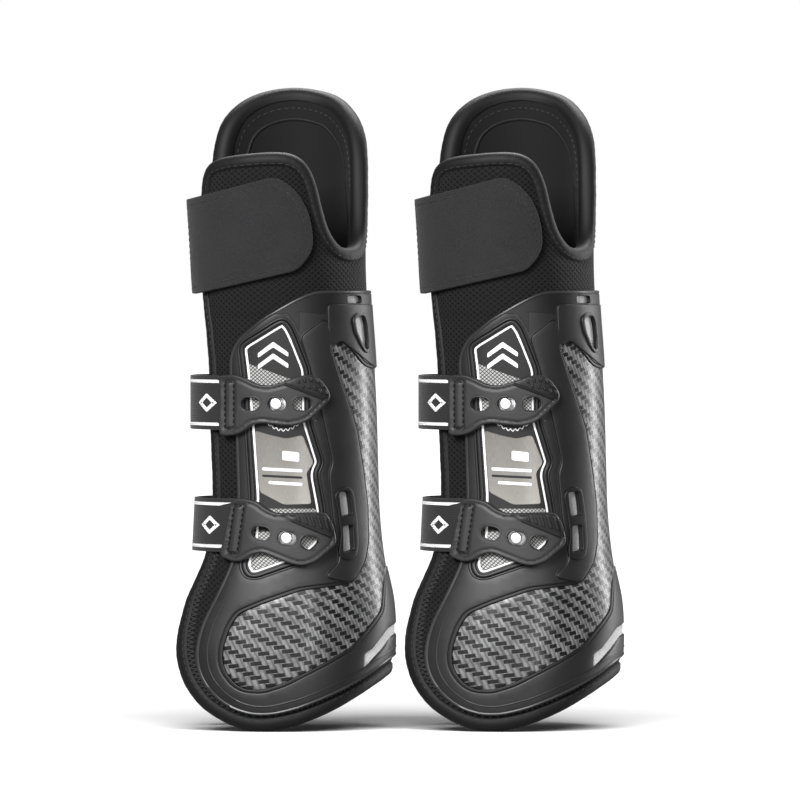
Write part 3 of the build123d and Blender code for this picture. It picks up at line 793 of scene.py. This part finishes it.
def ripple(flat, size, height):
    """Soft unevenness of cloth."""
    s, z = flat[:, 0] / size, flat[:, 1] / size
    waves = np.sin(1.7 * s + 0.6 * z) + np.sin(1.1 * z - 0.9 * s + 1.3) + np.sin(0.6 * s + 1.9 * z + 2.1)
    return height * waves / 3


EDGE = edge_line()
TAU = 2 * math.pi * S0  # once round the leg on the working plane


# ---- padding
BRAID_TOP = 84  # the overlock runs along the hem below this height
RIDGE_LOW, RIDGE_FRONT = 236, 4  # the ridge inside the tall lobe starts here


def liner():
    piece = Piece("padded_liner", "neoprene_liner", slot="neoprene")
    piece.patch([inset(EDGE, 0.8)], 0, -1.2, "neoprene", under="cavity", bevel=0.2, step=6)
    inner = inset(spaced(EDGE, 1.2), 8.5)
    seam(piece, inner, -0.1, "thread", "cavity", length=2.2, gap=1.2, radius=0.3, sign=-1)
    ridge = stretch(spaced(inset(EDGE, 14.0), 1.5), lambda p: (p[:, 1] > RIDGE_LOW) & (p[:, 0] > RIDGE_FRONT))
    cord(piece, ridge, 0.1, 0.9, "binding", "cavity")
    return piece


def mesh_cover():
    """Air mesh over the liner, puffed up a little inside its bound edge."""
    piece = Piece("air_mesh_cover", "mesh_cover", slot="air_mesh")

    def puff(flat):
        gap = np.maximum(nearest(flat, EDGE[::2]) - 5.5, 0)
        return np.where(flat[:, 1] > 195, 0.75, 0.35) * (1 - np.exp(-gap / 2.2)) + ripple(flat, 7, 0.12)

    piece.patch([inset(EDGE, 0.8)], -1.1, 0.1, "air_mesh", bevel=0, step=2.2, lift=puff)
    return piece


# The tape's section: distance in from the edge, height above the wrap.
BINDING_PROFILE = [
    (5.0, -0.3), (5.3, 0.35), (4.9, 0.95), (3.9, 1.35), (2.4, 1.5), (0.8, 1.2), (-0.5, 0.2), (-1.1, -1.4),
    (-1.1, -3.2), (-0.6, -5.0), (0.6, -6.4), (2.6, -7.0), (4.8, -6.8), (5.2, -6.2), (4.4, -5.4), (1.4, -5.0),
    (0.8, -3.0), (1.4, -0.8),
]


def edge_binding():
    """Folded tape round the whole edge, sewn down, with a braided overlock along the hem."""
    piece = Piece("edge_tape", "edge_binding", slot="binding")
    wrap, into = SURF["wrap"], inward(EDGE)
    for _ in range(3):
        into = into + np.roll(into, 1, 0) + np.roll(into, -1, 0)
        into /= np.linalg.norm(into, axis=1, keepdims=True)
    rings = []
    for k, (p, n) in enumerate(zip(EDGE, into)):
        pucker = 0.06 * math.sin(2.1 * k) + 0.05 * math.sin(0.7 * k + 1)
        rings.append([wrap.point(*(p + n * a), d + (pucker if d > 0 else 0)) for a, d in BINDING_PROFILE])
    piece.sweep(rings, "binding")
    seam(piece, inset(EDGE, 4.1), 1.3, "thread", length=2.2, gap=0.9, radius=0.22)
    braid(piece, inset(EDGE, 6.9), 0.45, "thread", keep=lambda p: p[1] < BRAID_TOP)
    return piece


# ---- shell
SHELL_TOP, FRAME_TOP = 2.6, 3.4  # above the wrap


def heel_hole(trim=0.0):
    """The opening that runs round the back of the heel."""
    return inset(across(HEEL_VENT, radius=1.2), trim)


def windows(outlines, trim=0.0):
    """Round-cornered openings, each cut on both sides."""
    near = [inset(seen(outline, radius=1.2, step=0.6), trim) for outline in outlines]
    return near + [mirrored(loop) for loop in near]


def shell():
    """Moulded outer shell with its bevelled rim, raised frames, and openings for inserts and vents."""
    piece = Piece("moulded_shell", "outer_shell", slot="shell_tpu")
    body, carbon = across(SHELL, radius=4), across(CARBON, radius=3)
    panel = seen(PANEL, radius=2.5)

    def crown(flat):
        return 0.35 * (1 - np.exp(-np.maximum(nearest(flat, body[::2]) - 0.5, 0) / 2.5))

    slots, head_windows = windows(HEAD_VENTS[:1]), windows(HEAD_VENTS[1:])
    side_windows = windows(SIDE_VENT_WINDOWS)
    holes = [carbon, panel, heel_hole()] + slots + head_windows + side_windows
    piece.patch([body] + holes, 0.1, SHELL_TOP, "tpu", bevel=0.9, step=2.5, lift=crown)
    line = stretch(inset(body, 4.4), lambda p: (p[:, 1] < 60) & (p[:, 0] < 0))
    cord(piece, line, 2.75, 0.4, "tpu")
    head, wing = across(HEAD_FRAME, radius=2.5), seen(WING_FRAME, radius=3)
    piece.patch([head] + head_windows, 2.3, FRAME_TOP, "tpu", bevel=0.55, step=2)
    for loop in head_windows:
        piece.patch([inset(loop, -1.7), loop], 3.0, 4.2, "tpu", bevel=0.5, step=1.5)
        piece.patch([loop, inset(loop, 0.4)], 1.0, FRAME_TOP, "tpu_dark", bevel=0.1, step=1.5)
    for near, cut in ((wing, side_windows[:2]), (mirrored(wing), side_windows[2:])):
        piece.patch([near] + cut, 2.3, FRAME_TOP, "tpu", bevel=0.6, step=2)
        # A near-black bead round the foot of each wing frame: painted shade under the raised frame.
        cord(piece, inset(near, -0.35), 2.78, 0.42, "tpu_dark", closed=True)
    # Near-black strip and wedges under the top rim: painted shade of the recess.
    wedge = seen(HEAD_SHADE_WEDGE, radius=0.4, step=0.6)
    for loops in ([across(HEAD_SHADE_STRIP, radius=0.8)] + slots, [wedge], [mirrored(wedge)]):
        piece.patch(loops, 2.2, 3.05, "tpu_dark", bevel=0.15, step=2)
    # A lighter bead along the shell's edge: painted highlight.
    cord(piece, inset(body, 0.8), 2.35, 0.75, "tpu_edge", closed=True)
    # A near-black ring in the gap round the carbon insert: painted shade of the crease.
    rim = inset(carbon, -0.2)
    piece.patch([rim, inset(rim, 1.5)], 0.2, 2.9, "tpu_dark", bevel=0.4, step=1.5)
    piece.patch([inset(panel, -0.9), inset(panel, 0.25)], 0.3, 3.3, "tpu", bevel=0.5, step=1.5)
    return piece


def carbon():
    piece = Piece("carbon_look_insert", "carbon_insert", slot="carbon_look")
    piece.patch([inset(across(CARBON, radius=3), 1.3)], 0.3, 2.35, "carbon", bevel=0.3, step=2.5)
    return piece


def bezels():
    piece = Piece("side_vent_frames", "side_vent_bezels", slot="shell_tpu")
    rim, holes = seen(SIDE_VENT, radius=2), windows(SIDE_VENT_WINDOWS)
    for loops in ([rim] + holes[:2], [mirrored(rim)] + holes[2:]):
        piece.patch(loops, 3.2, 4.3, "tpu_dark", bevel=0.5, step=1.5)
    return piece


def screens():
    piece = Piece("vent_mesh_windows", "vent_screens", slot="vent_mesh")
    for loop in windows(HEAD_VENTS[:1] + SIDE_VENT_WINDOWS, 0.15):
        piece.patch([loop], 0.35, 1.3, "vent_mesh", bevel=0, step=3)
    # The heel opening and the second head window get the lighter copy of the vent mesh: painted highlight.
    for loop in [heel_hole(0.15)] + windows(HEAD_VENTS[1:], 0.15):
        piece.patch([loop], 0.35, 2.2, "bright_mesh", bevel=0, step=3)
    return piece


# ---- the outer side's panel
def panel_band(low, high, step=0.7):
    """The part of the panel's field between two lines, each given as a height at X 0 and a slope."""
    line = inset(spaced(rounded(PANEL, 2.5), FINE), 3.9)
    line[:, 1] = np.clip(line[:, 1], low[0] + low[1] * line[:, 0], high[0] + high[1] * line[:, 0])
    flat = np.stack([SURF["wrap"].flat(line[:, 0], line[:, 1], 3, -1), line[:, 1]], -1)
    return spaced(flat, step)


def panel():
    piece = Piece("stud_panel_plate", "stud_panel", slot="panel_tpu")
    outline = seen(PANEL, radius=2.5)
    piece.patch([inset(outline, 0.4)], 0.3, 2.8, "tpu_dark", bevel=0.2, step=3)
    piece.patch([inset(outline, 0.4), inset(outline, 2.0)], 0.4, 3.5, "tpu", bevel=0.55, step=1.2)
    return piece


CHEVRON = [(-15, 176.5), (-7.8, 182), (-0.6, 177), (-0.6, 174.8), (-7.8, 179.4), (-15, 174.3)]
# Left end, height, width, thickness and finish of the bars printed on the plate.
PLATE_BARS = [
    (-13, 122.6, 19, 1.5, "white_print"), (-13, 119.6, 19, 1.1, "tpu_dark"),
    (-10, 116.2, 16, 1.5, "white_print"), (-3.5, 127.5, 8, 4.5, "white_print"),
]
PATTERN_BANDS = [((146, 0.0), (165.8, -0.36)), ((70, 0.0), (95, 0.1)), ((101.5, 0.0), (104.6, 0.0))]
PANEL_FLOOR = 2.7  # prints start just inside the panel plate
BADGE_LINE_X, BADGE_LINE_Z = np.arange(-14.0, 5.5, 1.1), 141.6


def panel_prints():
    """White outline, badge, foil plate and woven pattern; generic marks stand in for lettering."""
    wrap = SURF["wrap"]
    line = Piece("panel_white_outline", "panel_outline", slot="white_print")
    outline = seen(PANEL, radius=2.5, step=0.7)
    line.patch([inset(outline, 2.7), inset(outline, 3.6)], PANEL_FLOOR, 3.15, "white_print",
               bevel=0.15, step=1.2)
    plate = Piece("silver_plate", "name_plate", slot="silver_print")
    plate.patch([seen(NAME_PLATE, radius=1.5, step=0.7)], PANEL_FLOOR, 3.2, "plate", bevel=0.2, step=2.5)
    for x, z, width, height, finish in PLATE_BARS:
        bar = [(x, z), (x + width, z - 0.9), (x + width, z + height - 0.9), (x, z + height)]
        plate.patch([seen(bar, radius=0.6, step=0.6)], 3.1, 3.35, finish, bevel=0.1, step=2)
    dots = Piece("woven_pattern_print", slot="silver_print")
    for low, high in PATTERN_BANDS:
        dots.patch([panel_band(low, high)], PANEL_FLOOR, 3.05, "halftone", bevel=0.1, step=2.5)
    z = BADGE_LINE_Z + 0.06 * (BADGE_LINE_X + 3)**2 + np.where(np.arange(len(BADGE_LINE_X)) % 2, 0.7, -0.7)
    s = wrap.flat(BADGE_LINE_X, z, 3.0)
    spots, out = wrap.point(s, z, 2.9), wrap.normal(s, z, 2.9)
    for a, b, up in zip(spots, spots[1:], out):
        line.stitch(a, b, up, 0.3, "white_print")
    emblem = Piece("badge_chevrons", "emblem", slot="silver_print")
    for rise in (1.2, -4.2):
        chevron = [(x, z + rise) for x, z in CHEVRON]
        emblem.patch([seen(chevron, radius=0.4, step=0.6)], PANEL_FLOOR, 3.25, "white_print",
                     bevel=0.15, step=2)
    return [line, plate, dots, emblem]


# ---- fastenings
def strap_loop(points, surface, far_x=None):
    """A strap's outline: the near part up to the front line, or the far part back to far_x."""
    line = spaced(rounded(points, 3.0, closed=False), 0.5, closed=False)
    s = SURF[surface].flat(line[:, 0], line[:, 1], 0.5)
    flat = np.stack([s, line[:, 1]], -1)
    on = s > -TAU / 2 + 0.02
    if far_x is None:
        half = flat[on]
    else:
        half = (flat * [-1, 1] - [TAU, 0])[on & (line[:, 0] < far_x)]
    ends = [[[-TAU / 2, half[k, 1]]] for k in (0, -1)]
    loop = spaced(np.vstack([ends[0], half, ends[1]]), 0.9)
    return loop if far_x is None else loop[::-1]


def strap_relief(loop, seam_at=3.0):
    """Relief that dips along a strap's seam."""
    def lift(flat):
        return -0.35 * np.exp(-((nearest(flat, loop) - seam_at) / 0.55)**2) + ripple(flat, 9, 0.18)
    return lift


def top_strap():
    far = Piece("closing_strap_sewn_half", "top_strap_sewn_end", "top_strap_bridge", slot="strap_web")
    near = Piece("closing_strap_free_half", "top_strap_tip", slot="strap_web")
    for piece, loop in ((far, strap_loop(TOP_STRAP, "top", -6.0)), (near, strap_loop(TOP_STRAP, "top"))):
        piece.patch([loop], 0.0, 1.9, "strap", "top", bevel=0.6, step=1.6, lift=strap_relief(loop))
        seam(piece, inset(loop, 3.0), 1.75, "thread", "top", length=2.0, gap=1.0, radius=0.22)
    return far, near


def patches():
    loops = Piece("loop_fastener", "loop_patch", slot="velcro")
    loops.patch([seen(LOOP_PATCH, radius=2)], 0.3, 1.4, "hook_and_loop", bevel=0.3, step=2)
    hooks = Piece("hook_fastener", "hook_patch", slot="velcro")
    hooks.patch([seen(HOOK_PATCH, 0, radius=2, surface="top")], -0.5, 0.2, "hook_and_loop", "top",
                bevel=0.2, step=2)
    return loops, hooks


def band_loop(strap, z0, z1, near_low, near_high, far_x=-9.0):
    """A band round the front from the inner side to the outer side."""
    surf = SURF[strap]
    near = [(surf.flat(x, z, 0.8), z) for x, z in ((near_low, z0), (near_high, z1))]
    far = [(-TAU - surf.flat(far_x, z, 0.8), z) for z in (z1, z0)]
    return spaced(np.array(near + far, float), 1.2)


# Name, lower and upper edge, and how far each edge reaches to the outer side.
ELASTICS = [("upper", 141.5, 167.0, -31.5, -31.5), ("lower", 84.0, 109.2, -31.2, -25.2)]
DIAMOND = np.array([(-6, 0), (0, 4.5), (6, 0), (0, -4.5)])
DIAMOND_PLACES = (-TAU / 2 + 22, -TAU / 2 - 22)


def elastics():
    """Woven bands round the front, each with two white stripes and a diamond on either side."""
    made = []
    for strap, z0, z1, low, high in ELASTICS:
        piece = Piece(f"{strap}_elastic_band", f"{strap}_elastic", f"{strap}_sewn_end", slot="elastic")
        piece.patch([band_loop(strap, z0, z1, low, high)], 0.25, 1.45, "elastic", strap, bevel=0.4, step=2.5)
        for a, b in ((z0 + 1.9, z0 + 3.4), (z1 - 3.4, z1 - 1.9)):
            stripe = band_loop(strap, a, b, low - 1.5, high - 1.5, -10.5)
            piece.patch([stripe], 1.3, 1.6, "white", strap, bevel=0.1, step=2.5)
        for s in DIAMOND_PLACES:
            ring = spaced(DIAMOND + [s, (z0 + z1) / 2], 0.8)
            piece.patch([ring, inset(ring, 1.7)], 1.3, 1.62, "white", strap, bevel=0.1, step=1.5)
        made.append(piece)
    return made


TAB_TOP = 3.3  # above its elastic's own surface


def tab(strap, outline, holes, tilt, sewn, step_line, pad, ribs):
    """Rubber tab: rolled rim, sunk sewing field, three rimmed adjusting holes and a ribbed grip."""
    piece = Piece(f"{strap}_rubber_tab", f"{strap}_tab", slot="rubber")
    rim = seen(outline, radius=2.2, step=0.7, surface=strap)
    field = seen(sewn, radius=1.2, step=0.7, surface=strap)
    eyes = [seen(oval(x, z, tilt), radius=0.8, step=0.6, surface=strap) for x, z in holes]
    (x0, z0), (x1, z1) = step_line

    def relief(flat):
        gap = nearest(flat, rim)
        low = np.where(inside(flat, [field]), -1.0 * np.exp(-((nearest(flat, field) - 1.0) / 0.75)**4), 0)
        groove = -0.45 * np.exp(-((gap - 1.9) / 0.45)**2)
        x = SURF[strap].point(flat[:, 0], flat[:, 1], 3)[:, 0]
        over = flat[:, 1] - (z0 + (z1 - z0) * (x - x0) / (x1 - x0))
        grip = 0.55 * np.clip(over / 0.8, 0, 1) * (x > x0 - 4) * np.clip((gap - 0.5) / 0.8, 0, 1)
        return low + np.where(low < 0, 0, groove) + grip

    piece.patch([rim] + eyes, 0.5, TAB_TOP, "rubber", strap, bevel=0.8, step=0.75, lift=relief)
    for eye in eyes:
        cord(piece, inset(eye, -0.35), 3.0, 0.45, "rubber", strap, closed=True)
    seam(piece, inset(field, 1.0), 2.55, "tpu_dark", strap, length=1.9, gap=0.8, radius=0.36)
    grip = seen(pad, radius=0.8, step=0.7, surface=strap)
    piece.patch([grip], 2.6, 3.95, "tpu_dark", strap, bevel=0.3, step=1.5)
    step = np.array([(x0 + t * (x1 - x0), z0 + t * (z1 - z0)) for t in np.linspace(0.04, 0.93, 30)])
    flat = np.stack([SURF[strap].flat(step[:, 0], step[:, 1], 3), step[:, 1]], -1)
    cord(piece, flat, 3.15, 0.6, "tpu_dark", strap)
    for x, z, reach in ribs:
        foot = x + 0.35 * reach
        bar = [(x, z), (x + 1.2, z + 0.2), (foot + 1.2, z - reach), (foot, z - reach - 0.2)]
        rib = seen(bar, radius=0.5, step=0.5, surface=strap)
        piece.patch([rib], 3.2, 4.9, "rubber_grip", strap, bevel=0.4, step=1.5)
    return piece


def tabs():
    upper = tab(
        "upper", UPPER_TAB, holes=[(-18.6, 153.9), (-5.9, 154.0), (5.9, 154.1)], tilt=0.0,
        sewn=[(-31.9, 165.6), (-25.6, 165.6), (-25.6, 141.2), (-31.9, 141.2)],
        step_line=((-3, 163.5), (17.5, 155.5)),
        pad=[(-1.5, 163.4), (4.7, 166.3), (10.4, 167.0), (13.2, 165.7), (17, 161.6), (18.6, 158),
             (17.4, 156.3)],
        ribs=[(3.0, 165.7, 1.9), (5.8, 166.4, 2.2), (8.6, 166.8, 2.3), (11.3, 166.1, 2.3),
              (13.8, 164.1, 2.2), (5.2, 163.2, 1.6), (7.9, 163.3, 2.1), (10.6, 162.7, 2.3),
              (13.2, 161.2, 2.3), (15.7, 160.4, 1.9)])
    lower = tab(
        "lower", LOWER_TAB, holes=[(-13.6, 93.2), (-1.3, 90.9), (9.6, 88.8)], tilt=-10.0,
        sewn=[(-27.4, 107.2), (-20.6, 107.2), (-24.2, 82.4), (-30.8, 82.9)],
        step_line=((0, 99.5), (21, 90.5)),
        pad=[(1.5, 99.8), (3.5, 102.2), (13.2, 102.4), (17, 102.1), (20.1, 96.5), (21.3, 91.2)],
        ribs=[(3.0, 101.8, 3.0), (6.0, 102.0, 4.4), (9.0, 102.0, 5.5), (12.0, 101.8, 6.2),
              (15.0, 101.5, 6.8), (17.6, 99.6, 5.8)])
    return upper, lower


# ---- finishes of the CAD pieces that stay
CAD_FINISH = {"strap_studs": "steel", "stud_washers": "steel", "anchor_rivets": "steel",
              "strap_anchor_plates": "rubber", "gel_pads": "gel"}


def dress_cad_pieces():
    for side in SIDES:
        for node, finish in CAD_FINISH.items():
            obj = frame["nodes"][f"{side}_{node}"]
            obj.data.materials.clear()
            obj.data.materials.append(FINISH[finish])


# ---- studio, metres
AMBIENT = 0.13
FLOOR_HALF, FLOOR_DROP = 9.0, 0.0005
PAPER_SEEN, PAPER_LIGHT = (0.93, 0.93, 0.93), (0.22, 0.22, 0.22)  # to the camera, and to light that bounces
WASH_POWER, WASH_SPREAD, WASH_TILT = 5.4, math.radians(60), math.radians(42)
# Name, place from a boot's centre, width and height, watts.
LIGHTS = [
    ("key", (-0.8, -1.7, 1.1), (0.8, 0.8), 62), ("rim", (1.25, 0.62, 0.3), (0.34, 1.3), 18),
    ("front", (0.35, -1.9, 0.4), (0.25, 1.3), 10), ("top", (0.25, 0.8, 1.5), (1.2, 0.4), 44),
]
LIGHT_AIM = 0.15
CAMERA_TARGET, CAMERA_DISTANCE, CAMERA_RISE = Vector((-0.0005, 0, 0.155)), 6.0, math.radians(1.2)
CAMERA_LENS = 570.0


def placed(data, name, position, target):
    """A light or camera in the scene, turned to a target."""
    obj = bpy.data.objects.new(name, data)
    obj.location = position
    obj.rotation_euler = (target - position).to_track_quat("-Z", "Y").to_euler()
    bpy.context.scene.collection.objects.link(obj)
    return obj


def background():
    """White to the camera, dim to everything else."""
    world = bpy.data.worlds.new("studio")
    world.use_nodes = True
    tree = world.node_tree
    sky, path = tree.nodes["Background"], tree.nodes.new("ShaderNodeLightPath")
    level = tree.nodes.new("ShaderNodeMapRange")
    sky.inputs[0].default_value = (1, 1, 1, 1)
    level.inputs[3].default_value, level.inputs[4].default_value = AMBIENT, 1.0
    tree.links.new(path.outputs["Is Camera Ray"], level.inputs[0])
    tree.links.new(level.outputs[0], sky.inputs[1])
    bpy.context.scene.world = world


def studio_floor():
    """Plain paper, brightened by a light that falls on nothing else."""
    mesh = bpy.data.meshes.new("studio_floor")
    corners = [(-1, -1), (1, -1), (1, 1), (-1, 1)]
    mesh.from_pydata([(x * FLOOR_HALF, y * FLOOR_HALF, -FLOOR_DROP) for x, y in corners], [], [(0, 1, 2, 3)])
    floor = bpy.data.objects.new("studio_floor", mesh)
    bpy.context.scene.collection.objects.link(floor)
    paper = Nodes("studio_paper")
    by_camera = paper.node("ShaderNodeLightPath").outputs["Is Camera Ray"]
    mesh.materials.append(paper.set(Base_Color=paper.mix(by_camera, PAPER_LIGHT, PAPER_SEEN), Roughness=0.9,
                                    Specular_IOR_Level=0.0))
    only_floor = bpy.data.collections.new("floor_only")
    only_floor.objects.link(floor)
    wash = bpy.data.lights.new("floor_wash", "SUN")
    wash.energy, wash.angle = WASH_POWER, WASH_SPREAD
    lamp = bpy.data.objects.new("floor_wash", wash)
    lamp.rotation_euler = (WASH_TILT, 0, 0)
    bpy.context.scene.collection.objects.link(lamp)
    lamp.light_linking.receiver_collection = only_floor


def boot_lights():
    """The same lights for each boot, which it alone receives and shades."""
    for side in SIDES:
        lit = bpy.data.collections.new(f"{side}_boot_lit")
        for obj in bpy.data.objects:
            if obj.type == "MESH" and obj.name.startswith(side):
                lit.objects.link(obj)
        centre = Vector((BOOT_X[side] * MM, 0, 0))
        for name, place, size, power in LIGHTS:
            data = bpy.data.lights.new(name, "AREA")
            data.shape, data.size, data.size_y, data.energy = "RECTANGLE", size[0], size[1], power
            lamp = placed(data, f"{side}_{name}", centre + Vector(place), centre + Vector((0, 0, LIGHT_AIM)))
            lamp.light_linking.receiver_collection = lit
            lamp.light_linking.blocker_collection = lit


def photo_camera():
    data = bpy.data.cameras.new("camera")
    data.lens, data.sensor_width, data.clip_end = CAMERA_LENS, 36.0, 50.0
    away = Vector((0, -CAMERA_DISTANCE * math.cos(CAMERA_RISE), CAMERA_DISTANCE * math.sin(CAMERA_RISE)))
    bpy.context.scene.camera = placed(data, "camera", CAMERA_TARGET + away, CAMERA_TARGET)
    bpy.context.scene.view_settings.view_transform = "Standard"


# Body, next body, and where the bend between them starts and ends, from the boot's centre.
BENDS = {
    "far_strap": ("boot", "strap_bridge", (-41, 20.5, 231), (-41, 13, 231)),
    "near_strap": ("strap_bridge", "strap_tip", (-41, -13, 231), (-41, -20.5, 231)),
    "upper_band": ("boot", "upper_tab_body", (-37, -26, 153), (-33.5, -28, 153)),
    "lower_band": ("boot", "lower_tab_body", (-33.5, -30, 96), (-30, -32, 96)),
}


def main():
    loops, hooks = patches()
    fixed = [liner(), mesh_cover(), edge_binding(), shell(), carbon(), bezels(), screens(), panel(),
             *panel_prints(), loops]
    far, near = top_strap()
    upper_band, lower_band = elastics()
    upper_tab, lower_tab = tabs()
    for side in SIDES:
        for piece in fixed:
            piece.build(side)
        hooks.build(side, "strap_tip")
        far.build(side, blend=BENDS["far_strap"])
        near.build(side, blend=BENDS["near_strap"])
        upper_band.build(side, blend=BENDS["upper_band"])
        lower_band.build(side, blend=BENDS["lower_band"])
        upper_tab.build(side, "upper_tab_body")
        lower_tab.build(side, "lower_tab_body")
    dress_cad_pieces()
    studio_floor()
    background()
    boot_lights()
    photo_camera()


main()
